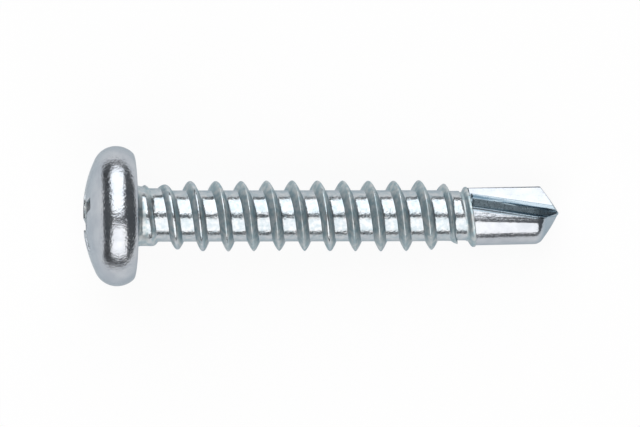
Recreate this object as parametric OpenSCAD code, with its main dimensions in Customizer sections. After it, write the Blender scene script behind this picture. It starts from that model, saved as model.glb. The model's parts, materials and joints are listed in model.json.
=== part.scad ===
// Self-drilling sheet metal screw with a pan head and a cross recess, zinc plated, 3.5 mm thread.
// It lies on its head's rim and its drill point. X runs from the head to the tip, and Z is up.

/* [Head] */
// Diameter of the pan head
head_d = 7.0; // [6.4:0.05:7.6]
// Height of the head from its bearing face to the top of the dome
head_h = 2.55; // [2.4:0.01:2.8]
// Radius of the rounded rim about the widest circle
rim_r = 1.15; // [1.05:0.01:1.3]
// Height of the widest circle over the bearing face
rim_base = 0.87; // [0.8:0.01:0.95]
// Radius of the edge between the rim and the bearing face
under_r = 0.25; // [0.15:0.01:0.4]

/* [Cross recess] */
// Span across two opposite wings at the top of the dome
wing_span = 3.85; // [3.4:0.05:4.2]
// Thickness of a wing
wing_w = 0.64; // [0.56:0.02:0.8]
// Depth of the wings below the top of the dome
wing_depth = 1.4; // [1.2:0.05:1.5]
// Slope of a wing's end from the screw's axis, in degrees
wing_slope = 26.5; // [20:0.5:30]
// Turn of the wings about the screw's axis, in degrees
wing_turn = 67.5; // [0:0.5:90]
// Diameter of the round core between the wings at the top of the dome
core_d = 2.3; // [1.8:0.05:2.6]
// Diameter of the core at the foot of the wings
core_foot_d = 1.3; // [1:0.05:1.5]
// Depth of the core's middle below the top of the dome
core_depth = 1.7; // [1.55:0.05:1.75]

/* [Shank and thread] */
// Length from the bearing face to the tip
shank_len = 21.35; // [20:0.05:26]
// Diameter of the plain collar under the head
collar_d = 3.02; // [2.9:0.01:3.1]
// Length of the plain collar
collar_len = 0.7; // [0.6:0.05:0.9]
// Outer diameter of the thread
thread_d = 3.53; // [3.4:0.01:3.6]
// Diameter of the thread's root
root_d = 2.56; // [2.5:0.01:2.7]
// Diameter of the bare neck between the thread and the drill point
neck_d = 2.48; // [2.4:0.01:2.56]
// Distance from one turn of the thread to the next
pitch = 1.276; // [1.2:0.002:1.35]
// Width of the thread's ridge at its foot
ridge_w = 0.64; // [0.5:0.01:0.75]
// Width of the thread's blunt crest
crest_w = 0.12; // [0.06:0.01:0.2]
// Distance from the bearing face to a crest on the side that faces +Y
crest_s = 2.865; // [2.4:0.005:3.4]

/* [Drill point] */
// Length of the drill point from its shoulder to the tip
drill_len = 4.4; // [4:0.05:5]
// Diameter of the drill point's round lands
drill_d = 2.92; // [2.8:0.01:3]
// Distance between the two flats
flats_w = 2.79; // [2.7:0.01:2.85]
// Distance from the screw's axis to the end of a flat
flat_edge = 0.48; // [0.4:0.01:0.55]
// Distance between the two margins, the outer edges that cut the hole's wall
margins_w = 2.89; // [2.8:0.01:2.91]
// Height of a margin over the middle of the drill point
margin_h = 0.75; // [0.6:0.01:0.85]
// Angle of the cutting cone at the tip, in degrees
point_angle = 110; // [100:1:120]
// Width of a flute at its flat, at the drill point's corner
flute_w = 0.82; // [0.7:0.01:0.9]
// Width of a flute's floor
flute_floor = 0.36; // [0.25:0.01:0.45]
// Depth of a flute below its flat, at the drill point's corner
flute_depth = 0.66; // [0.5:0.01:0.75]
// Distance from the screw's axis to a flute's middle at the drill point's corner
flute_y = 0.18; // [0.1:0.01:0.2]
// Slant of a flute from the screw's axis, in degrees
flute_slant = 9.5; // [6:0.5:12]
// Fall of a flute's floor towards the tip, in degrees
flute_fall = 7; // [5:0.5:8]

/* [Shoulder] */
// Diameter of the slanted shoulder where the neck meets the drill point
shoulder_d = 3.05; // [2.98:0.01:3.15]
// Width of the shoulder's slope towards the neck
shoulder_w = 0.3; // [0.2:0.02:0.5]
// Slant of the shoulder, in degrees
shoulder_tilt = 8.4; // [4:0.2:10]
// Distance from the screw's axis to the shoulder's middle
shoulder_drop = 0.065; // [0.04:0.005:0.08]

/* [Hidden] */
$fn = 72;

// Clearance by which one form runs into the next
bite = 0.02;
// How far a cutting form stands out of the surface that it cuts
over = 1;

// The dome's arc runs tangent into the rim's arc, so its radius follows from the rim
head_r = head_d / 2;
rim_c = head_r - rim_r;
dome_rise = head_h - rim_base;
dome_r = (dome_rise * dome_rise + rim_c * rim_c - rim_r * rim_r) / (2 * (dome_rise - rim_r));
dome_tilt = asin(rim_c / (dome_r - rim_r));

// The edge at the bearing face lies tangent inside the rim's arc and ends on the face
edge_c = rim_c + sqrt(max(0, pow(rim_r - under_r, 2) - pow(rim_base - under_r, 2)));
edge_turn = atan2(rim_base - under_r, edge_c - rim_c);

// The fillet on the bearing face ends outside the thread, so that a plate with a hole lies flat on it
collar_r = collar_d / 2;
thread_r = thread_d / 2;
fillet_r = thread_r + bite - collar_r;

// The ridge's section: place along the screw from the crest, and share of the ridge's height
crest_fall = 0.94;
ridge = [
    [-ridge_w / 2, 0],
    [-crest_w / 2, crest_fall],
    [0, 1],
    [crest_w / 2, crest_fall],
    [ridge_w / 2, 0]
];
ROWS = len(ridge);
STEPS = 36;

// Places along the screw where the thread's valley and crest run in at the collar and out at the neck
blank_r = collar_r - bite;
root_r = root_d / 2;
neck_r = neck_d / 2;
shoulder_s = shank_len - drill_len;
valley_in = [collar_len - 0.35, collar_len + 0.8];
crest_in = [collar_len - 0.1, collar_len + 2.4];
run_out = [shoulder_s - 2.1, shoulder_s - 0.45];
crest_out = [shoulder_s - 2.65, shoulder_s - 0.35];
crest_drop = 2.2;

// The threaded surface starts inside the head and ends inside the drill point
start_s = collar_len - pitch - ridge_w / 2;
end_s = shoulder_s + ridge_w / 2;
first_step = ceil((start_s - crest_s) / pitch * STEPS);
last_step = floor((end_s - crest_s) / pitch * STEPS);

drill_r = drill_d / 2;
flat_h = flats_w / 2;
margin_y = margins_w / 2;
half_point = point_angle / 2;
corner_s = shank_len - flat_h / tan(half_point);

// At rest the screw touches with its head's rim and with the flat at the drill point's corner
reach = [corner_s + rim_base, rim_c - flat_h];
rest_tilt = atan2(reach[1], reach[0]) + asin(rim_r / norm(reach));
rest_h = rim_c * cos(rest_tilt) - rim_base * sin(rest_tilt) + rim_r;

// The origin lies halfway between the dome's outermost point and the tip
dome_x = (dome_r - head_h) * cos(rest_tilt) - dome_r;
tip_x = shank_len * cos(rest_tilt);
rest_x = -(dome_x + tip_x) / 2;

// Points of an arc: centre, radius, first and last angle, number of steps
function arc(c, r, a, b, steps) =
    [for (i = [0 : steps]) let (t = a + (b - a) * i / steps) c + r * [cos(t), sin(t)]];

// Share of a span that lies before a place, from 0 at the span's start to 1 at its end
function share(s, span) = max(0, min(1, (s - span[0]) / (span[1] - span[0])));

// Smooth run from 0 at the span's start to 1 at its end
function run(s, span) = let (t = share(s, span)) t * t * (3 - 2 * t);

function mix(a, b, t) = a + (b - a) * t;

// Radius of the thread's valley at a place along the screw
function valley_r(s) =
    mix(mix(blank_r, root_r, run(s, valley_in)), neck_r, run(s, run_out));

// Radius of the thread's crest at a place along the screw
function crest_r(s) =
    mix(mix(blank_r, thread_r, run(s, crest_in)), neck_r, pow(share(s, crest_out), crest_drop));

// One point of the threaded surface: step along the helix and row across the ridge
function thread_point(step, row) =
    let (middle = crest_s + pitch * step / STEPS)
    let (valley = middle + (row < ROWS / 2 ? -pitch / 2 : pitch / 2))
    let (r = mix(valley_r(valley), crest_r(middle), ridge[row][1]))
    let (turn = 90 + 360 * step / STEPS)
    [r * cos(turn), r * sin(turn), middle + ridge[row][0]];

// The head and the collar, from the axis over the dome and back along the shank
module head_outline() {
    polygon(concat(
        arc([0, dome_r - head_h], dome_r, -90, dome_tilt - 90, 14),
        arc([rim_c, -rim_base], rim_r, dome_tilt - 90, edge_turn, 14),
        arc([edge_c, -under_r], under_r, edge_turn, 90, 5),
        arc([collar_r + fillet_r, fillet_r], fillet_r, 270, 180, 6),
        [[collar_r, collar_len], [0, collar_len]]
    ));
}

module recess_wing() {
    spread = tan(wing_slope);
    top_half = wing_span / 2 + over * spread;
    foot_half = wing_span / 2 - wing_depth * spread;
    rotate([90, 0, 0])
        linear_extrude(wing_w, center = true)
            polygon([
                [-top_half, -head_h - over],
                [top_half, -head_h - over],
                [foot_half, wing_depth - head_h],
                [-foot_half, wing_depth - head_h]
            ]);
}

module recess_core() {
    top_r = core_d / 2;
    foot_r = core_foot_d / 2;
    over_r = top_r + over * (top_r - foot_r) / wing_depth;
    rotate_extrude()
        polygon([
            [0, -head_h - over],
            [over_r, -head_h - over],
            [foot_r, wing_depth - head_h],
            [0, core_depth - head_h]
        ]);
}

module recess() {
    rotate(wing_turn) {
        recess_wing();
        rotate(90)
            recess_wing();
    }
    recess_core();
}

// Root and ridge as one surface that follows the helix, closed at each end by a fan to the axis
module threaded_shank() {
    count = last_step - first_step;
    surface = [for (i = [0 : count + STEPS], row = [0 : ROWS - 1]) thread_point(first_step + i, row)];
    start_i = len(surface);
    end_i = start_i + 1;
    start_middle = [0, 0, surface[0][2] + pitch / 2];
    end_middle = [0, 0, surface[count * ROWS][2] + pitch / 2];

    // A ridge's last row is followed by the first row of the next turn
    function at(i, row) = row < ROWS ? i * ROWS + row : (i + STEPS) * ROWS;

    sides = [
        for (i = [0 : count - 1], row = [0 : ROWS - 1])
            each [
                [at(i, row), at(i, row + 1), at(i + 1, row + 1)],
                [at(i, row), at(i + 1, row + 1), at(i + 1, row)]
            ]
    ];
    start_cap = concat(
        [for (i = [0 : STEPS - 1]) [start_i, at(i, 0), at(i + 1, 0)]],
        [for (row = [0 : ROWS - 1]) [start_i, at(0, row + 1), at(0, row)]]
    );
    end_cap = concat(
        [for (i = [count : count + STEPS - 1]) [end_i, at(i + 1, 0), at(i, 0)]],
        [for (row = [0 : ROWS - 1]) [end_i, at(count, row), at(count, row + 1)]]
    );
    polyhedron(concat(surface, [start_middle, end_middle]), concat(sides, start_cap, end_cap));
}

// Two round lands, a flat above and below, and a broad slanted face from each flat to its margin
module drill_section() {
    intersection() {
        union() {
            circle(drill_r);
            for (turn = [0, 180])
                rotate(turn)
                    translate([-drill_r, 0])
                        square([drill_r, drill_d]);
        }
        polygon([
            [-flat_h, -margin_y],
            [-flat_h, flat_edge],
            [-margin_h, margin_y],
            [flat_h, margin_y],
            [flat_h, -flat_edge],
            [margin_h, -margin_y]
        ]);
    }
}

module drill_body() {
    intersection() {
        translate([0, 0, shoulder_s])
            linear_extrude(drill_len)
                drill_section();
        rotate_extrude()
            polygon([
                [0, shoulder_s - over],
                [drill_d, shoulder_s - over],
                [drill_d, shank_len - drill_d / tan(half_point)],
                [0, shank_len]
            ]);
    }
}

module shoulder() {
    shoulder_r = shoulder_d / 2;
    blunt = 0.05;
    back = shoulder_w / 2;
    translate([0, -shoulder_drop, shoulder_s])
        rotate([-shoulder_tilt, 0, 0])
            rotate_extrude()
                polygon([
                    [0, -shoulder_w],
                    [neck_r - shoulder_drop - bite, -shoulder_w],
                    [shoulder_r - blunt, -2 * blunt],
                    [shoulder_r, 0],
                    [shoulder_r - back, back],
                    [0, back]
                ]);
}

module flute() {
    mouth_w = flute_w + over * (flute_w - flute_floor) / flute_depth;
    mouth_h = flat_h + over;
    floor_h = flat_h - flute_depth;
    start = shoulder_s + shoulder_w / 3 - corner_s;
    translate([0, flute_y, corner_s])
        rotate([flute_slant, flute_fall, 0])
            translate([0, 0, start])
                linear_extrude(drill_len)
                    polygon([
                        [-mouth_h, -mouth_w / 2],
                        [-mouth_h, mouth_w / 2],
                        [-floor_h, flute_floor / 2],
                        [-floor_h, -flute_floor / 2]
                    ]);
}

module screw() {
    color("silver")
        translate([rest_x, 0, rest_h])
            rotate([0, 90 + rest_tilt, 0])
                difference() {
                    union() {
                        rotate_extrude()
                            head_outline();
                        threaded_shank();
                        shoulder();
                        drill_body();
                    }
                    recess();
                    for (turn = [0, 180])
                        rotate(turn)
                            flute();
                }
}

screw();
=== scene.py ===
import json
import math

import bpy
import numpy as np
from mathutils import Matrix


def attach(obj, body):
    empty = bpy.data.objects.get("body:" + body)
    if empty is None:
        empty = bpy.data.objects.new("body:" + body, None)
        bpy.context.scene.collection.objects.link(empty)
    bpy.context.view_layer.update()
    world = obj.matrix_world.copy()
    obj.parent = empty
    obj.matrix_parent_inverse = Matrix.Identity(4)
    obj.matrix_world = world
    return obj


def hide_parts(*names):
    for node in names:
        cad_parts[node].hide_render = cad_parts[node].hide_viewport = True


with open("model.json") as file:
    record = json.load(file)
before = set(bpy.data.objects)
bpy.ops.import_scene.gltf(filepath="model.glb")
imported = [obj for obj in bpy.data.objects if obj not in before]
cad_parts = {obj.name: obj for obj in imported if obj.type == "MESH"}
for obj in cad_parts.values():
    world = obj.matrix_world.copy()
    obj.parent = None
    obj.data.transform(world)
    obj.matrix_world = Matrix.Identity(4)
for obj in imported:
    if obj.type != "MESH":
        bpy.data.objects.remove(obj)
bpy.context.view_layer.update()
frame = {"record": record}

# Lengths of the screw are in millimetres, as in the part's source. A name in _IN is a stretch, start to end
MM = 0.001

# Head, with the loops on the dome outside the recess
HEAD_H = 2.55
HEAD_R = 3.5
RIM_R = 1.15
RIM_BASE = 0.87
UNDER_R = 0.25
HEAD_SKEW = 0.008
HEAD_LOBE, HEAD_LOBES = 0.04, 4
HEAD_LOBE_IN = (2.35, 3.2)
HEAD_LOBE_SIDE = (-0.3, 0.5)
DISH = 0.02
DISH_IN = (2.2, 3.1)
RIM_C = HEAD_R - RIM_R
UNDER_C = RIM_C + math.sqrt((RIM_R - UNDER_R)**2 - (RIM_BASE - UNDER_R)**2)
UNDER_TURN = math.atan2(RIM_BASE - UNDER_R, UNDER_C - RIM_C)
RISE = HEAD_H - RIM_BASE
DOME_R = (RISE**2 + RIM_C**2 - RIM_R**2) / (2 * (RISE - RIM_R))
DOME_TILT = math.asin(RIM_C / (DOME_R - RIM_R))
DOME_LOOPS = (RIM_C, 2.6, 2.85)

# Cross recess, with the turn of its first wing as a share of a whole turn
WING_HALF = 1.925
WING_W_HALF = 0.32
WING_DEPTH = 1.4
WING_SLOPE = math.tan(math.radians(26.5))
WING_TURN = 67.5 / 360
WING_CORNER = 0.1
CORE_R = 1.15
CORE_FOOT_R = 0.65
CORE_DEPTH = 1.7
LIP = 0.06

# Shank and thread
LENGTH = 21.35
COLLAR_R = 1.51
COLLAR_LEN = 0.7
THREAD_R = 1.765
ROOT_R = 1.28
NECK_R = 1.24
NECK_LEN = 0.525
PITCH = 1.276
RIDGE_HALF = 0.31
RIDGE_SOFT = 0.06
CONVEX = 0.5
CREST_HALF = 0.06
CREST_S = 2.825
BLANK_R = 1.49
FILLET_R = 0.275
SHOULDER_S = 16.85
THREAD_START = 0.3
VALLEY_IN = (COLLAR_LEN - 0.35, COLLAR_LEN + 0.8)
CREST_IN = (COLLAR_LEN - 0.1, COLLAR_LEN + 2.4)
CREST_OUT, CREST_OUT_POWER = (14.2, 16.45), 2.2
NECK_IN = (SHOULDER_S - 2.1, SHOULDER_S - 0.45)

# The crest's waves: height, turn for each millimetre and turn at the start, both in radians
CREST_WAVES = ((0.012, 4.1, 0.6), (0.010, 9.7, 2.0), (0.006, 23, 0))

# The crest is blunt at the head's end and at one worn place, and sharp elsewhere
SHARP_IN = (3.2, 5.8)
BLUNT, SHARP, SHARP_CREST = 0.16, 0.05, 0.4
WORN_S, WORN_W = 9.68, 0.4

# The thread ends in a thin fin that comes early and bends towards the tip
FIN = (15.45, 16.2)
FIN_WIDTH, FIN_CREST = 0.35, 1.5
FIN_BEND, FIN_BEND_H = 0.22, 0.2
FIN_BEND_IN = (15.8, 16.1)
FIN_EARLY = 0.15
FIN_EARLY_IN = (15.45, 15.95)

# A small lip on the collar where the thread starts
START_S, START_H, START_W, START_TURN = 0.58, 0.15, 0.11, 0.9

# Ridge marks for the material: bare shank, duller collar and shoulder, and the recess, which is rough and has
# painted shade. A full ridge is 1
ROLLED = 0.22
COLLAR_DULL = 0.42
COLLAR_DULL_OUT = (0.7, 0.95)
FILLET_DULL_IN = (0.02, 0.12)
DULL_IN = (0.0, 1.6)
SHOULDER_DULL = 0.5
SHADED_RECESS = 2

# The crest is polished back to bare metal, from the first turns to the sharp ones, where it breaks up
POLISH = (1.0, 0.85)
POLISH_IN = (0.88, 0.98)
BREAK, BREAK_RATE, BREAK_START = 0.4, 29, 1

# Drill point
DRILL_R = 1.46
FLAT_H = 1.395
FLAT_EDGE = 0.48
FLAT_TAPER = 0.013
FLAT_BOW = 0.095
FLAT_END = -math.sqrt(DRILL_R**2 - FLAT_H**2)
MARGIN_Y = 1.445
MARGIN_H = 0.75
POINT = math.tan(math.radians(55))
CORNER_S = LENGTH - FLAT_H / POINT
FLUTE_WALL, FLUTE_LOW_WALL = 0.22, 0.15
FLUTE_FLOOR_HALF = 0.18
FLUTE_DEPTH = 0.66
FLUTE_FALL = math.tan(math.radians(7))
FLUTE_Y = 0.16
FLUTE_SLANT = math.tan(math.radians(9.5))
FLUTE_IN = (SHOULDER_S - 0.04, SHOULDER_S + 0.07)
FLUTE_DIP = 0.3
FLUTE_DIP_IN = (CORNER_S, LENGTH - 0.15)
BEVEL, BEVEL_FALL = 0.92, 0.6
LOW_BEVEL, LOW_BEVEL_FALL = 0.09, 0.06
EDGE, EDGE_SHARE = 0.025, 0.4
DRILL_START = 0.085
DRILL_DROP = 0.05
DRILL_LEAN = 0.02
LIP_FLAT, LIP_LAND = 0.3, 0.6
CORNER_ROUND = (0.03, 0.32)
CONE_OUT, CONE_BULGE = 0.06, 0.05
APEX_UP = 0.1

# Drill marks for the material: the drill point, its flute, the flute's bevels and its edges. The flute and
# its bevels get painted shade, and the edges a painted dark line of shade
DRILL, FLUTE, BEVELLED, SHADED_EDGE = 1, 1.5, 2, 2.5
# Painted shade on the cone's lands: its strength at the cone's corner, and how much of it fades towards the
# tip
CONE_SHADE, CONE_SHADE_FADE = 0.35, 0.7

# Shoulder: its profile as place along it, radius and share of its drop, and its dents as waves round it
SHOULDER_R = 1.525
SHOULDER_TILT = math.radians(8.4)
SHOULDER_DROP = 0.065
SHOULDER_PROFILE = ((-0.28, NECK_R, 0.05), (-0.25, 1.25, 0.2), (-0.21, 1.285, 0.5),
                    (-0.16, 1.37, 0.8), (-0.11, 1.455, 1), (-0.06, 1.51, 1),
                    (0, SHOULDER_R, 1), (0.05, 1.522, 1), (0.08, 1.49, 1))
SHOULDER_TURN_ROWS = 6
SHOULDER_DENT = 0.007
SHOULDER_DENTS = ((17, 1), (29, 2), (41, 0))

# The screw's own frame: the middle of the bearing face, and the way from there to the tip
BEARING = next(m for m in frame["record"]["mounts"] if m["name"] == "bearing_face")
ORIGIN, AXIS = np.array(BEARING["pos_m"]), np.array(BEARING["axis"])
TILT = math.atan2(-AXIS[2], AXIS[0])

# Points round the screw, and an edge that is sharper than this, in radians, is not shaded smooth
AROUND = 144
TURNS = 2 * np.pi * np.arange(AROUND) / AROUND
SHARP_EDGE = math.radians(40)

# Rounds in which the places settle where the recess leaves the dome and the drill point meets its cone
LIP_TRIES, CONE_TRIES = 6, 5

# Rows of the recess's floor, wall and rounded edge and of the dome, and counts for the rest of the head
FLOOR_ROWS = (0.3, 0.65, 0.95)
WALL_ROWS = (0, 0.06, 0.3, 0.6, 0.9)
LIP_ROWS = (0, 0.25, 0.5, 0.75, 1)
DOME_ROWS = (0.12, 0.3, 0.5, 0.75, 1)
RIM_COUNT, UNDER_COUNT, FACE_COUNT, FILLET_COUNT = 27, 8, 7, 7

# Rows across one turn of the thread, closer at the crest and at the ridge's feet
THREAD_ROWS = (0, 0.09, 0.18, 0.23, 0.258, 0.28, 0.305, 0.345, 0.385, 0.42, 0.447, 0.467, 0.484,
               0.5, 0.516, 0.533, 0.553, 0.58, 0.615, 0.655, 0.695, 0.72, 0.742, 0.77, 0.82, 0.91)

# Rows along the drill point, closer at the flute's start, then round its corner and up the cone
DRILL_ROWS = (0, 0.006, 0.014, 0.022, 0.03, 0.038, 0.046, 0.055, 0.066, 0.08, 0.1, 0.14, 0.2, 0.28, 0.37,
              0.46, 0.55, 0.64, 0.73, 0.82, 0.9, 0.96)
CORNER_ROWS = (0, 0.2, 0.4, 0.6, 0.8, 1)
CONE_ROWS = (0.12, 0.28, 0.45, 0.6, 0.75, 0.87, 0.95)

# Points on each side of the drill point's section, with the trimmed corners between: margin, broad face,
# the flute's bevel, wall, floor, low wall and low bevel, and the flat
STEPS = (6, 1, 13, 1, 4, 1, 2, 1, 6, 1, 2, 1, 3, 1, 7)
WALL_FIRST, FLAT_FIRST = sum(STEPS[:6]), sum(STEPS[:13])

# Marked sides of the section, for the painted shade: the first, the one after the last, and the mark. A later
# row wins
SIDE_MARKS = ((5, 11, FLUTE), (4, 5, BEVELLED), (12, 13, BEVELLED), (13, 14, SHADED_EDGE))


def smooth(x, span):
    """Smooth run from 0 at the span's start to 1 at its end."""
    u = np.clip((np.asarray(x, float) - span[0]) / (span[1] - span[0]), 0, 1)
    return u * u * (3 - 2 * u)


def mix(a, b, t):
    return a + (b - a) * t


class Skin:
    """One closed surface, built loop by loop from the recess to the tip.

    A point is (towards the viewer, up, along the screw). Its two marks tell the material what it is on.
    """

    def __init__(self):
        self.points = []
        self.marks = []
        self.faces = []

    def add(self, towards, up, along, ridge=0.0, drill=0.0):
        """Adds points and returns their numbers."""
        first = len(self.points)
        rows = np.column_stack(np.broadcast_arrays(*np.atleast_1d(towards, up, along, ridge, drill)))
        self.points.extend(rows[:, :3])
        self.marks.extend(rows[:, 3:])
        return np.arange(first, len(self.points))

    def join(self, a, b):
        """Faces between two loops."""
        for i in range(len(a)):
            j = (i + 1) % len(a)
            self.faces.append((a[i], a[j], b[j], b[i]))

    def fan(self, point, ring, first):
        """Faces between a point and a loop, at the surface's first or last end."""
        middle = self.add(*point)[0]
        for i in range(len(ring)):
            j = (i + 1) % len(ring)
            self.faces.append((middle, ring[j], ring[i]) if first else (ring[i], ring[j], middle))

    def run(self, rings):
        """Faces along a row of loops."""
        for a, b in zip(rings, rings[1:]):
            self.join(a, b)


# Cross recess and dome

def sag(r):
    """How far the dome lies below its top at a distance from the axis."""
    return DOME_R - np.sqrt(DOME_R**2 - r * r)


def wing_outline(half, half_w, core, corner):
    """Half of one wing's outline in its own axes, from the middle of its end to halfway to the next wing.

    Its 4, 4, 6 and 5 points are an eighth of the loop and the point after it.
    """
    out = [(half, u * (half_w - corner)) for u in (0, 1 / 3, 2 / 3, 1)]
    for u in (0.25, 0.5, 0.75, 1):
        a = u * np.pi / 2
        out.append((half - corner + corner * np.cos(a), half_w - corner + corner * np.sin(a)))
    foot = np.sqrt(core**2 - half_w**2)
    out += [(mix(half - corner, foot, u / 6), half_w) for u in range(1, 7)]
    start = np.arcsin(half_w / core)
    for u in range(1, 6):
        a = mix(start, np.pi / 4, u / 5)
        out.append((core * np.cos(a), core * np.sin(a)))
    return out


def recess_outline(depth, spread=0.0):
    """The whole cross at a depth of its own for each point, as (towards the viewer, up)."""
    out = np.zeros((AROUND, 2))
    quarter = AROUND // 4
    for k in range(AROUND):
        offset = (k - round(WING_TURN * AROUND) + quarter // 2) % quarter - quarter // 2
        wing = np.radians((k - offset) * 360 / AROUND)
        d = depth[k]
        core = mix(CORE_R, CORE_FOOT_R, d / WING_DEPTH)
        half = WING_HALF - d * WING_SLOPE
        side = wing_outline(half + spread, WING_W_HALF + spread, core + spread, WING_CORNER + spread)
        a, b = side[abs(offset)]
        b = math.copysign(b, offset)
        out[k] = (a * np.sin(wing) + b * np.cos(wing), a * np.cos(wing) - b * np.sin(wing))
    return out


def lip_depth(spread=0.0):
    """Depth at which each line of the recess's wall comes out of the dome."""
    depth = np.zeros(AROUND)
    for _ in range(LIP_TRIES):
        depth = sag(np.linalg.norm(recess_outline(depth, spread), axis=1))
    return depth


def add_recess(skin):
    """The recess from its middle out, its rounded edge, and the dome round it."""
    foot = recess_outline(np.full(AROUND, WING_DEPTH))
    angle = np.arctan2(foot[:, 0], foot[:, 1])
    rings = []
    # The recess's floor and walls carry its mark: rough zinc with painted shade
    for share in FLOOR_ROWS:
        depth = mix(CORE_DEPTH, WING_DEPTH, share)
        r = CORE_FOOT_R * share
        rings.append(skin.add(r * np.sin(angle), r * np.cos(angle), depth - HEAD_H, SHADED_RECESS))
    skin.fan((0, 0, CORE_DEPTH - HEAD_H), rings[0], True)

    lip = lip_depth()
    for share in WALL_ROWS:
        depth = mix(WING_DEPTH, lip + LIP, share)
        wall = recess_outline(depth)
        rings.append(skin.add(wall[:, 0], wall[:, 1], depth - HEAD_H, SHADED_RECESS))

    dome_depth = lip_depth(LIP)
    low, edge, dome = (np.column_stack((recess_outline(depth, spread), depth))
                       for depth, spread in ((lip + LIP, 0), (lip, 0), (dome_depth, LIP)))
    for u in LIP_ROWS:
        p = (1 - u)**2 * low + 2 * u * (1 - u) * edge + u * u * dome
        rings.append(skin.add(p[:, 0], p[:, 1], p[:, 2] - HEAD_H))

    circle = DOME_LOOPS[0] * np.column_stack((np.sin(TURNS), np.cos(TURNS)))
    for u in DOME_ROWS:
        p = mix(dome[:, :2], circle, u)
        rings.append(skin.add(p[:, 0], p[:, 1], sag(np.linalg.norm(p, axis=1)) - HEAD_H))
    skin.run(rings)
    return rings[-1]


# Head

def head_profile():
    """Distance from the axis and place along the screw, from the dome over the rim to the collar."""
    out = [(r, sag(r) - HEAD_H) for r in DOME_LOOPS[1:]]
    for a in np.linspace(DOME_TILT - np.pi / 2, UNDER_TURN, RIM_COUNT):
        dish = DISH * smooth(a, (0, UNDER_TURN))
        out.append((RIM_C + RIM_R * np.cos(a), RIM_R * np.sin(a) - RIM_BASE + dish))
    for a in np.linspace(UNDER_TURN, np.pi / 2, UNDER_COUNT)[1:]:
        out.append((UNDER_C + UNDER_R * np.cos(a), UNDER_R * np.sin(a) - UNDER_R + DISH))
    flat_r = COLLAR_R + FILLET_R
    for share in np.linspace(0.04, 0.96, FACE_COUNT):
        r = mix(UNDER_C, flat_r, share)
        out.append((r, DISH * smooth(r, DISH_IN)))
    for a in np.linspace(np.pi * 1.5, np.pi, FILLET_COUNT):
        out.append((flat_r + FILLET_R * np.cos(a), FILLET_R + FILLET_R * np.sin(a)))
    return out


def add_head(skin, ring):
    """The head outside the dome's first loop, slightly uneven on the side towards the viewer."""
    rings = [ring]
    for r, s in head_profile():
        side = smooth(np.sin(TURNS), HEAD_LOBE_SIDE)
        r = r + HEAD_LOBE * smooth(r, HEAD_LOBE_IN) * side * np.sin(HEAD_LOBES * TURNS)
        dull = COLLAR_DULL * smooth(s, FILLET_DULL_IN)
        rings.append(skin.add(r * np.sin(TURNS), r * np.cos(TURNS), s, dull))
    skin.run(rings)
    return rings[-1]


# Thread

def valley_r(s):
    """Radius between the ridges, from the blank over the root to the neck."""
    return mix(mix(BLANK_R, ROOT_R, smooth(s, VALLEY_IN)), NECK_R, smooth(s, NECK_IN))


def crest_r(s):
    """The rolled crest runs in over two turns, rises and falls slightly, and runs out in a curve."""
    fade = np.clip((s - CREST_OUT[0]) / (CREST_OUT[1] - CREST_OUT[0]), 0, 1)
    full = mix(BLANK_R, THREAD_R, smooth(s, CREST_IN))
    wave = sum(height * np.sin(rate * s + start) for height, rate, start in CREST_WAVES)
    return mix(full + wave * smooth(s, CREST_IN), NECK_R, fade**CREST_OUT_POWER)


def ridge_share(d, width, sharp):
    """Share of the ridge's height at a distance from its crest, with a hollow foot and a blunt crest."""
    foot = RIDGE_HALF * width
    crest = CREST_HALF * np.minimum(1, width * FIN_CREST) * mix(1, SHARP_CREST, sharp)
    blunt = mix(BLUNT, SHARP, sharp)
    flank = (foot - np.abs(d)) / (foot - crest)
    hollow = np.where(flank > -RIDGE_SOFT, (flank + RIDGE_SOFT)**2 / (4 * RIDGE_SOFT), 0)
    low = np.where(flank > RIDGE_SOFT, flank, hollow)
    low = np.where(low < 1, low * (1 + CONVEX * (1 - low)), low)
    over = low - 1
    rounded = low - (over + blunt)**2 / (4 * blunt)
    return np.where(over > blunt, 1, np.where(over > -blunt, rounded, low))


def shank_r(turn, s):
    """Radius of the threaded shank at a turn and a place along it, its ridge mark and its bend to the tip."""
    q = (s - CREST_S + FIN_EARLY * smooth(s, FIN_EARLY_IN)) / PITCH - turn / (2 * np.pi)
    d = (q - np.round(q)) * PITCH
    middle = s - d
    valley = valley_r(middle + np.where(d < 0, -PITCH / 2, PITCH / 2))
    width = mix(1, FIN_WIDTH, smooth(middle, FIN))
    height = np.maximum(crest_r(middle) - valley, 0)
    sharp = smooth(middle, SHARP_IN) * (1 - np.exp(-((middle - WORN_S) / WORN_W)**2))
    share = ridge_share(d, width, sharp)
    rise = height * share
    bend = FIN_BEND * smooth(middle, FIN_BEND_IN) * share**2 * np.minimum(1, height / FIN_BEND_H)

    full = np.sqrt(np.clip(rise / (THREAD_R - ROOT_R), 0, 1))
    base = mix(COLLAR_DULL, ROLLED, smooth(s, COLLAR_DULL_OUT))
    mark = mix(base, 1, full * smooth(middle, DULL_IN))
    broken = mix(1, 1 - BREAK + BREAK * np.sin(BREAK_RATE * middle + BREAK_START), sharp)
    polish = mix(*POLISH, sharp) * broken * smooth(share, POLISH_IN)

    side = (turn + np.pi) % (2 * np.pi) - np.pi
    start = (s - START_S - PITCH * side / (2 * np.pi)) / START_W
    lip = START_H * np.exp(-start**2 - (side / START_TURN)**2)
    return valley + rise + lip, mix(mark, ROLLED, polish), bend


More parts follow.
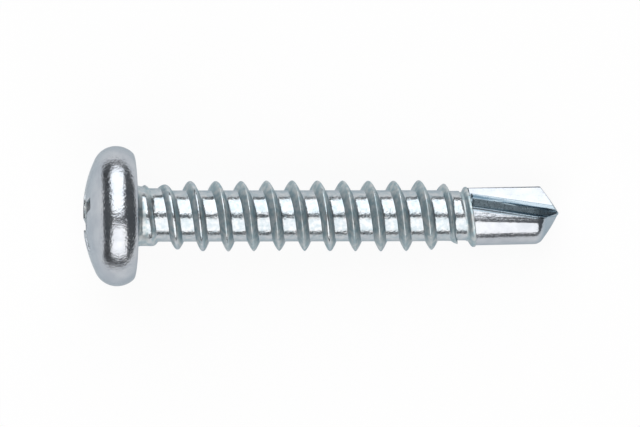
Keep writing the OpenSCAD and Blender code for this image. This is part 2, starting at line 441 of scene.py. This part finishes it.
def add_thread(skin, ring):
    """A grid that follows the helix, with a wedge at each end that brings it to a plain loop."""
    share = np.array(THREAD_ROWS)
    rows = len(share)

    def edge_s(i):
        """Where a column starts: in the middle of a valley, a little further on for each column."""
        return CREST_S - PITCH / 2 + PITCH * i / AROUND

    first = math.ceil((THREAD_START - edge_s(0)) / PITCH * AROUND)
    last = math.ceil((SHOULDER_S - NECK_LEN - edge_s(AROUND)) / PITCH * AROUND)

    def column(i, at):
        turn = 2 * np.pi * i / AROUND
        r, ridge, bend = shank_r(turn, at)
        return skin.add(r * np.sin(turn), r * np.cos(turn), at + bend, ridge)

    start_s = edge_s(first)
    start = np.empty(AROUND, int)
    for i in range(first, first + AROUND):
        start[i % AROUND] = column(i, np.array([start_s]))[0]
    skin.join(ring, start)

    main = {i: column(i, edge_s(i) + PITCH * share) for i in range(first + 1, last)}
    main[first] = np.concatenate(([start[first % AROUND]], column(first, start_s + PITCH * share[1:])))
    edge = {i: main[i][0] for i in main}

    tail_turn = 2 * np.pi * last / AROUND
    base = edge_s(last + AROUND) + NECK_R * np.cos(tail_turn) * math.tan(SHOULDER_TILT)

    def end_at(i):
        """Where a column meets the shoulder's slanted loop."""
        return base - NECK_R * np.cos(2 * np.pi * i / AROUND) * math.tan(SHOULDER_TILT)

    end = np.empty(AROUND, int)
    for i in range(last, last + AROUND):
        end[i % AROUND] = column(i, np.array([end_at(i)]))[0]
        edge[i] = column(i, np.array([edge_s(i)]))[0]
    edge[last + AROUND] = end[last % AROUND]
    main[last] = np.concatenate(([edge[last]], column(last, edge_s(last) + PITCH * share[1:])))

    def strip(a, b):
        """Faces between two columns, without the sides that have no length."""
        for k in range(rows):
            face = [a[k], b[k], b[k + 1], a[k + 1]]
            face = [p for j, p in enumerate(face) if p != face[j - 1]]
            if len(face) > 2:
                skin.faces.append(tuple(face))

    def full(i):
        """A column with the first point of the one that follows it a turn later."""
        return list(main[i]) + [edge[i + AROUND]]

    for i in range(first, last):
        strip(full(i), full(i + 1))

    # The wedge between the plain loop and the first turn
    before = [start[first % AROUND]] * (rows + 1)
    for i in range(first + 1, first + AROUND):
        inner = column(i, mix(start_s, edge_s(i), share[1:]))
        now = [start[i % AROUND], *inner, edge[i]]
        strip(before, now)
        before = now
    strip(before, [*main[first], edge[first + AROUND]])

    # The wedge between the last turn and the shoulder's slanted loop
    before = full(last)
    before[-1] = end[last % AROUND]
    for i in range(last + 1, last + AROUND):
        inner = column(i, mix(edge_s(i), end_at(i), share[1:]))
        now = [edge[i], *inner, end[i % AROUND]]
        strip(before, now)
        before = now
    strip(before, [end[last % AROUND]] * (rows + 1))
    return end, base


# Drill point

def trim(points):
    """Cuts each inner corner of a line by a small edge, and keeps its two ends."""
    out = [points[0]]
    for before, at, after in zip(points, points[1:], points[2:]):
        for other in (before, after):
            way = np.subtract(other, at)
            out.append(at + way * min(EDGE / max(EDGE, np.linalg.norm(way)), EDGE_SHARE))
    return out + [points[-1]]


def drill_half(s):
    """Half of the drill point's section at one place: margin, broad face, flute, flat and round land."""
    middle = FLUTE_Y + (CORNER_S - s) * FLUTE_SLANT
    grow = float(smooth(s, FLUTE_IN))
    broad = (MARGIN_H - FLAT_H) / (MARGIN_Y - FLAT_EDGE)
    depth = FLUTE_DEPTH + (s - CORNER_S) * FLUTE_FALL + FLUTE_DIP * float(smooth(s, FLUTE_DIP_IN))
    low = FLAT_H - depth
    flat = FLAT_H + FLAT_TAPER * max(CORNER_S - s, 0)
    upper_y = middle + FLUTE_FLOOR_HALF + FLUTE_WALL
    upper = np.array((FLAT_H + broad * (upper_y - FLAT_EDGE), upper_y))
    corner = np.array((FLAT_H, FLAT_EDGE))
    fall = np.array((-BEVEL_FALL, -1)) * BEVEL * FLUTE_WALL

    # Where the flute hasn't started, its points lie along the broad face
    bevel = mix(mix(upper, corner, 0.25), upper + fall, grow)
    floor_a = mix(mix(upper, corner, 0.5), np.array((low, middle + FLUTE_FLOOR_HALF)), grow)
    floor_b = mix(corner, np.array((low, middle - FLUTE_FLOOR_HALF)), grow)
    lower = np.array((flat, middle - FLUTE_FLOOR_HALF - FLUTE_LOW_WALL))
    low_bevel = mix(lower, lower + np.array((-LOW_BEVEL_FALL, LOW_BEVEL)), grow)

    start = np.array((-math.sqrt(DRILL_R**2 - MARGIN_Y**2), MARGIN_Y))
    flat_end = np.array((flat, -math.sqrt(DRILL_R**2 - flat**2)))
    keys = trim([start, np.array((MARGIN_H, MARGIN_Y)), upper, bevel, floor_a, floor_b, low_bevel,
                 lower, flat_end])
    out = []
    for a, b, count in zip(keys, keys[1:], STEPS):
        out += [mix(a, b, u / count) for u in range(count)]
    for p in out[FLAT_FIRST:]:
        p[0] -= FLAT_BOW * (p[1] - FLAT_END)**2
    a0 = math.atan2(flat_end[0], flat_end[1])
    a1 = math.atan2(-start[0], -start[1])
    rest = AROUND // 2 - len(out)
    for u in range(rest):
        a = mix(a0, a1, u / rest)
        out.append(np.array((DRILL_R * math.sin(a), DRILL_R * math.cos(a))))
    return out


def drill_points(along):
    """The whole section, each point at its own place along the screw."""
    half = AROUND // 2
    out = np.zeros((AROUND, 2))
    for k in range(AROUND):
        out[k] = drill_half(along[k])[k % half]
        if k >= half:
            out[k] = -out[k]
    return out


def lip_share():
    """How far each line of the section is from the cutting lips: 0 at a lip and 1 on the lands."""
    k = np.arange(AROUND // 2)
    rise = smooth(k, (WALL_FIRST, FLAT_FIRST)) + 1 - smooth(k, (0, STEPS[0]))
    return np.tile(rise, 2)


def add_shoulder(skin, ring, base):
    """The slanted shoulder, from the neck over its edge to the drill point's section."""
    start = drill_points(np.full(AROUND, SHOULDER_S))
    target = np.unwrap(np.arctan2(start[:, 0], start[:, 1]))
    rings = [ring]
    neck = mix(base - SHOULDER_S, SHOULDER_PROFILE[0][0], 0.5)
    for count, (z, r, shift) in enumerate(((neck, NECK_R, 0), *SHOULDER_PROFILE)):
        turn = mix(TURNS, target, min(1, count / SHOULDER_TURN_ROWS))
        dents = sum(np.sin(waves * turn + first) for waves, first in SHOULDER_DENTS)
        r = r + shift * SHOULDER_DENT * dents
        flat_y = r * np.cos(turn)
        up = flat_y * math.cos(SHOULDER_TILT) + z * math.sin(SHOULDER_TILT) - SHOULDER_DROP * shift
        along = SHOULDER_S + z * math.cos(SHOULDER_TILT) - flat_y * math.sin(SHOULDER_TILT)
        rings.append(skin.add(r * np.sin(turn), up, along, SHOULDER_DULL))
    skin.run(rings)
    return rings[-1]


def lean(along):
    """The pinched point sits slightly low at the shoulder and leans up towards the tip."""
    return (along - SHOULDER_S) * DRILL_LEAN - DRILL_DROP


def add_drill(skin, ring):
    """The fluted point, from the shoulder to its corners, round them and up the cone to the tip."""
    land = lip_share()
    corner = mix(*CORNER_ROUND, land)

    def far(p):
        return np.hypot(p[:, 0] * mix(LIP_FLAT, 1, land), p[:, 1])

    begin = np.full(AROUND, SHOULDER_S)
    cone = np.full(AROUND, CORNER_S)
    for _ in range(CONE_TRIES):
        begin = SHOULDER_S + DRILL_START - drill_points(begin)[:, 1] * math.tan(SHOULDER_TILT)
        cone = LENGTH - far(drill_points(cone)) / POINT + CONE_OUT * land

    # Marks for the painted shade on the flute, its bevels and its edges
    mark = np.full(AROUND, float(DRILL))
    for a, b, value in SIDE_MARKS:
        part = np.arange(sum(STEPS[:a]), sum(STEPS[:b]) + 1)
        mark[np.concatenate((part, part + AROUND // 2))] = value

    rings = [ring]
    for share in DRILL_ROWS:
        along = mix(begin, cone - corner, share)
        p = drill_points(along)
        rings.append(skin.add(p[:, 0], p[:, 1] + lean(along), along, 0, mark))

    side = np.column_stack((drill_points(cone - corner), cone - corner))
    rim = np.column_stack((drill_points(cone), cone))
    tip = np.array((0, APEX_UP, LENGTH))
    face = mix(rim, tip, (corner / np.linalg.norm(rim - tip, axis=1))[:, None])
    for u in CORNER_ROWS:
        p = (1 - u)**2 * side + 2 * u * (1 - u) * rim + u * u * face
        # Painted shade on the lands, growing round the cone's corner
        shaded_marks = np.maximum(mark, DRILL + CONE_SHADE * land * u)
        rings.append(skin.add(p[:, 0], p[:, 1] + lean(p[:, 2]), p[:, 2], 0, shaded_marks))

    # The flute's lines on the cone, which darken to a painted line of shade under the cutting lips
    flute_shade = (mark >= FLUTE) & (land < LIP_LAND)
    for share in CONE_ROWS:
        p = mix(face, tip, share)
        p[:, 2] += CONE_BULGE * 4 * share * (1 - share) * land
        # Painted shade: the lands' shade fades towards the tip, and the flute's lines darken under the
        # cutting lips
        shaded_marks = np.where(flute_shade, mix(FLUTE, SHADED_EDGE, share), DRILL + CONE_SHADE * land * (1 - CONE_SHADE_FADE * share))
        rings.append(skin.add(p[:, 0], p[:, 1] + lean(p[:, 2]), p[:, 2], 0, shaded_marks))
    skin.run(rings)
    skin.fan((0, lean(LENGTH) + APEX_UP, LENGTH), rings[-1], False)


def make_screw():
    """The whole screw in its place, with its marks for the material."""
    skin = Skin()
    ring = add_recess(skin)
    ring = add_head(skin, ring)
    head = len(skin.points)
    ring, base = add_thread(skin, ring)
    ring = add_shoulder(skin, ring, base)
    add_drill(skin, ring)

    up = np.array((0, 1, 0))
    towards = np.cross(AXIS, up)
    p = np.array(skin.points)
    p[:head, 2] -= HEAD_SKEW * p[:head, 1]
    p *= MM
    place = ORIGIN + np.outer(p[:, 0], towards) + np.outer(p[:, 1], up) + np.outer(p[:, 2], AXIS)

    mesh = bpy.data.meshes.new("screw_skin")
    mesh.from_pydata(place.tolist(), [], [tuple(int(k) for k in f) for f in skin.faces])
    for name, values in zip(("ridge", "drill"), np.array(skin.marks, np.float32).T):
        mesh.attributes.new(name, "FLOAT", "POINT").data.foreach_set("value", np.ascontiguousarray(values))
    mesh.validate()
    mesh.shade_smooth()
    mesh.set_sharp_from_angle(angle=SHARP_EDGE)
    piece = bpy.data.objects.new("screw_skin", mesh)
    bpy.context.scene.collection.objects.link(piece)
    return piece


# Materials

# Zinc in two tones each for the plain and the dull metal, and one tone of painted shade each for the recess,
# the flute, its bevels and its edges
PLAIN_TONES = ((0.455, 0.485, 0.53, 1), (0.54, 0.565, 0.60, 1))
DULL_TONES = ((0.38, 0.485, 0.525, 1), (0.605, 0.64, 0.65, 1))
RECESS_PAINTED_SHADE = (0.19, 0.21, 0.23, 1)
FLUTE_PAINTED_SHADE = (0.31, 0.40, 0.46, 1)
BEVEL_PAINTED_SHADE = (0.40, 0.49, 0.56, 1)
EDGE_PAINTED_SHADE = (0.12, 0.14, 0.16, 1)
GRAZING_TINT = (0.62, 0.68, 0.72, 1)
DULL_RIDGE = (0.05, 0.4)

# Noises: cells in a metre, detail, and for the streaks the share of these cells along the screw
CLOUDS, PATCHES = (1100, 4), (3600, 3)
WAVES, GRAIN = (2600, 1), (8500, 3)
STREAKS = (7000, 2, 0.05)
CLOUD_SPAN, PATCH_SPAN, GRAIN_SPAN = (0.35, 0.65), (0.38, 0.62), (0.3, 0.7)

# Roughness of the grain, and what the ridge and the flute add
ROUGH = (0.13, 0.21)
RIDGE_ROUGH, RIDGE_ROUGH_FULL = 0.36, 0.6
FLUTE_ROUGH = 0.12

# Relief: its height in metres, and its strength as two ends of a span or one number
WAVE_H, WAVE_STRENGTH = 0.00001, (0.25, 0.1)
GRAIN_H, GRAIN_STRENGTH, GRAIN_ON_DRILL = 0.00002, (0.9, 0.6), (1, 0.33)
STREAK_H, STREAK_STRENGTH = 0.00001, 0.6


def zinc_material():
    """Bright zinc with a fine grain and bluish clouds, dull on the ridge and streaked on the drill point,
    with painted shade in the recess and on the flute and its edges.
    """
    mat = bpy.data.materials.new("zinc")
    mat.use_nodes = True
    nodes, links = mat.node_tree.nodes, mat.node_tree.links
    shader = nodes["Principled BSDF"]
    shader.inputs["Metallic"].default_value = 1.0
    shader.inputs["Specular Tint"].default_value = GRAZING_TINT
    coords = nodes.new("ShaderNodeTexCoord")
    turn = nodes.new("ShaderNodeMapping")
    turn.inputs["Rotation"].default_value = (0, -TILT, 0)
    links.new(coords.outputs["Object"], turn.inputs["Vector"])

    def noise(scale, detail, along=1):
        squeeze = nodes.new("ShaderNodeMapping")
        squeeze.inputs["Scale"].default_value = (along, 1, 1)
        links.new(turn.outputs["Vector"], squeeze.inputs["Vector"])
        tex = nodes.new("ShaderNodeTexNoise")
        tex.inputs["Scale"].default_value = scale
        tex.inputs["Detail"].default_value = detail
        links.new(squeeze.outputs["Vector"], tex.inputs["Vector"])
        return tex.outputs["Fac"]

    def mark(name):
        node = nodes.new("ShaderNodeAttribute")
        node.attribute_name = name
        return node.outputs["Fac"]

    def span(value, low, high, a=0, b=1):
        out = nodes.new("ShaderNodeMapRange")
        out.inputs["From Min"].default_value = low
        out.inputs["From Max"].default_value = high
        out.inputs["To Min"].default_value = a
        out.inputs["To Max"].default_value = b
        links.new(value, out.inputs["Value"])
        return out.outputs["Result"]

    def maths(kind, a, b):
        out = nodes.new("ShaderNodeMath")
        out.operation = kind
        for socket, value in zip(out.inputs, (a, b)):
            if isinstance(value, float):
                socket.default_value = value
            else:
                links.new(value, socket)
        return out.outputs["Value"]

    def blend(factor, a, b):
        out = nodes.new("ShaderNodeMix")
        out.data_type = "RGBA"
        for name, value in (("Factor", factor), ("A", a), ("B", b)):
            kind = "VALUE" if name == "Factor" else "RGBA"
            socket = next(s for s in out.inputs if s.name == name and s.type == kind)
            if isinstance(value, tuple):
                socket.default_value = value
            else:
                links.new(value, socket)
        return next(s for s in out.outputs if s.type == "RGBA")

    def bump(height, depth, strength, below=None):
        out = nodes.new("ShaderNodeBump")
        out.inputs["Distance"].default_value = depth
        if isinstance(strength, float):
            out.inputs["Strength"].default_value = strength
        else:
            links.new(strength, out.inputs["Strength"])
        links.new(height, out.inputs["Height"])
        if below is not None:
            links.new(below, out.inputs["Normal"])
        return out.outputs["Normal"]

    clouds, patches = noise(*CLOUDS), noise(*PATCHES)
    waves, grain, streaks = noise(*WAVES), noise(*GRAIN), noise(*STREAKS)
    ridge, drill = mark("ridge"), mark("drill")
    flute_shade, bevel, edge_shade = span(drill, DRILL, FLUTE), span(drill, FLUTE, BEVELLED), span(drill, BEVELLED, SHADED_EDGE)

    plain = blend(span(clouds, *CLOUD_SPAN), *PLAIN_TONES)
    dull = blend(span(patches, *PATCH_SPAN), *DULL_TONES)
    zinc = blend(span(ridge, *DULL_RIDGE), plain, dull)
    # Painted shade: the recess, the flute, its bevels and its edges are darkened in colour
    zinc = blend(span(ridge, 1, SHADED_RECESS), zinc, RECESS_PAINTED_SHADE)
    for part, tone in ((flute_shade, FLUTE_PAINTED_SHADE), (bevel, BEVEL_PAINTED_SHADE), (edge_shade, EDGE_PAINTED_SHADE)):
        zinc = blend(part, zinc, tone)
    links.new(zinc, shader.inputs["Base Color"])

    rough = span(grain, *GRAIN_SPAN, *ROUGH)
    rough = maths("ADD", rough, span(ridge, ROLLED, RIDGE_ROUGH_FULL, 0, RIDGE_ROUGH))
    rough = maths("ADD", rough, span(drill, DRILL, FLUTE, 0, FLUTE_ROUGH))
    links.new(rough, shader.inputs["Roughness"])

    normal = bump(waves, WAVE_H, span(drill, 0, DRILL, *WAVE_STRENGTH))
    rolled = span(ridge, 0, ROLLED, *GRAIN_STRENGTH)
    normal = bump(grain, GRAIN_H, maths("MULTIPLY", rolled, span(drill, 0, DRILL, *GRAIN_ON_DRILL)), normal)
    normal = bump(streaks, STREAK_H, maths("MULTIPLY", drill, STREAK_STRENGTH), normal)
    links.new(normal, shader.inputs["Normal"])
    return mat


PAPER = (0.94, 0.94, 0.94, 1)
PAPER_ROUGH = 0.9
PAPER_WHITE = {"Is Camera Ray": 0.9, "Is Glossy Ray": 0.6, "Is Transmission Ray": 0.6}


def floor_material():
    """White paper: mostly plain white where it is seen or reflected, and partly lit, so the shadow stays."""
    mat = bpy.data.materials.new("paper")
    mat.use_nodes = True
    nodes, links = mat.node_tree.nodes, mat.node_tree.links
    paper = nodes["Principled BSDF"]
    paper.inputs["Base Color"].default_value = PAPER
    paper.inputs["Roughness"].default_value = PAPER_ROUGH
    paper.inputs["Specular IOR Level"].default_value = 0.0
    white = nodes.new("ShaderNodeEmission")
    path = nodes.new("ShaderNodeLightPath")
    seen = None
    for ray, share in PAPER_WHITE.items():
        part = nodes.new("ShaderNodeMath")
        part.operation = "MULTIPLY_ADD"
        part.inputs[1].default_value = share
        part.inputs[2].default_value = 0.0
        links.new(path.outputs[ray], part.inputs[0])
        if seen is not None:
            links.new(seen, part.inputs[2])
        seen = part.outputs["Value"]
    blend = nodes.new("ShaderNodeMixShader")
    links.new(seen, blend.inputs["Fac"])
    links.new(paper.outputs["BSDF"], blend.inputs[1])
    links.new(white.outputs["Emission"], blend.inputs[2])
    links.new(blend.outputs["Shader"], nodes["Material Output"].inputs["Surface"])
    return mat


# Stage, with its lengths in metres and its angles in degrees

FLOOR_HALF = 1.5

# Softboxes: side, angles from the zenith between which it stands, reach to the right, radiance and colour
SOFTBOXES = {"softbox_up": (1, (9.2, 83), 21.5, 1.92, (1, 1, 1)),
             "softbox_down": (-1, (8.7, 75.5), 31, 1.68, (1, 0.972, 0.95))}
SOFTBOX_LEFT = 38
SOFTBOX_FAR = 0.5
ROOM = (0.115, 0.12, 0.125, 1)

# Cards: from far on the left to near the head, from there out to both sides, and along these
CARD_FAR, CARD_NEAR = (-0.098, 0.033), (-0.0215, 0.0095)
CARD_SIDES = {"up": (1, 0.038), "down": (-1, -0.044)}
CARD_HALF = 0.06
CARD_H = 0.01
CARD_TONE = (0.11, 0.113, 0.117, 1)

# Camera, with its sensor and lens in millimetres
SENSOR, LENS = 36, 450
CLIP = (0.01, 10)
CAMERA = (-0.000045, 0.0001175, 0.4025)
CAMERA_TURN = -0.08


def make_floor():
    h = FLOOR_HALF
    mesh = bpy.data.meshes.new("floor")
    mesh.from_pydata([(-h, -h, 0), (h, -h, 0), (h, h, 0), (-h, h, 0)], [], [(0, 1, 2, 3)])
    floor = bpy.data.objects.new("floor", mesh)
    mesh.materials.append(floor_material())
    bpy.context.scene.collection.objects.link(floor)


def make_lamp(name, side, stretch, right, radiance, colour):
    """A softbox that faces the screw from above, on one side of the camera."""
    low, high = stretch
    lean = side * math.radians(low + high) / 2
    x0, x1 = (SOFTBOX_FAR * math.tan(math.radians(a)) for a in (-SOFTBOX_LEFT, right))
    lamp = bpy.data.lights.new(name, "AREA")
    lamp.shape = "RECTANGLE"
    lamp.size = x1 - x0
    lamp.size_y = 2 * SOFTBOX_FAR * math.tan(math.radians(high - low) / 2)
    lamp.energy = radiance * math.pi * lamp.size * lamp.size_y
    lamp.color = colour
    ob = bpy.data.objects.new(name, lamp)
    ob.matrix_world = Matrix.Rotation(-lean, 4, "X") @ Matrix.Translation(((x0 + x1) / 2, 0, SOFTBOX_FAR))
    ob.visible_camera = False
    bpy.context.scene.collection.objects.link(ob)


def make_light():
    """Two softboxes with a gap between them for the camera, in a dark room."""
    for name, values in SOFTBOXES.items():
        make_lamp(name, *values)
    world = bpy.data.worlds.new("studio")
    bpy.context.scene.world = world
    world.use_nodes = True
    world.node_tree.nodes["Background"].inputs["Color"].default_value = ROOM


def make_card(name, a, b, mat):
    """An upright card between two places on the floor, seen only in reflections."""
    mesh = bpy.data.meshes.new(name)
    mesh.from_pydata([(*a, 0), (*b, 0), (*b, CARD_H), (*a, CARD_H)], [], [(0, 1, 2, 3)])
    mesh.materials.append(mat)
    card = bpy.data.objects.new(name, mesh)
    card.visible_camera = card.visible_diffuse = card.visible_shadow = False
    bpy.context.scene.collection.objects.link(card)


def make_cards():
    """Low dark cards to the left and on both sides, which the metal shows as dark edges."""
    mat = bpy.data.materials.new("card")
    mat.use_nodes = True
    mat.node_tree.nodes["Principled BSDF"].inputs["Base Color"].default_value = CARD_TONE
    for end, (sign, y) in CARD_SIDES.items():
        far, near = ((p[0], sign * p[1]) for p in (CARD_FAR, CARD_NEAR))
        make_card(f"card_left_{end}", far, near, mat)
        make_card(f"card_corner_{end}", near, (near[0], y), mat)
        make_card(f"card_{end}", (-CARD_HALF, y), (CARD_HALF, y), mat)


def make_camera():
    cam = bpy.data.cameras.new("camera")
    cam.sensor_width = SENSOR
    cam.lens = LENS
    cam.clip_start, cam.clip_end = CLIP
    ob = bpy.data.objects.new("camera", cam)
    ob.location = CAMERA
    ob.rotation_euler = (0, 0, math.radians(CAMERA_TURN))
    bpy.context.scene.collection.objects.link(ob)
    bpy.context.scene.camera = ob


bpy.context.scene.view_settings.view_transform = "Standard"
screw = make_screw()
screw.data.materials.append(zinc_material())
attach(screw, "root")
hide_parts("screw")
make_floor()
make_light()
make_cards()
make_camera()
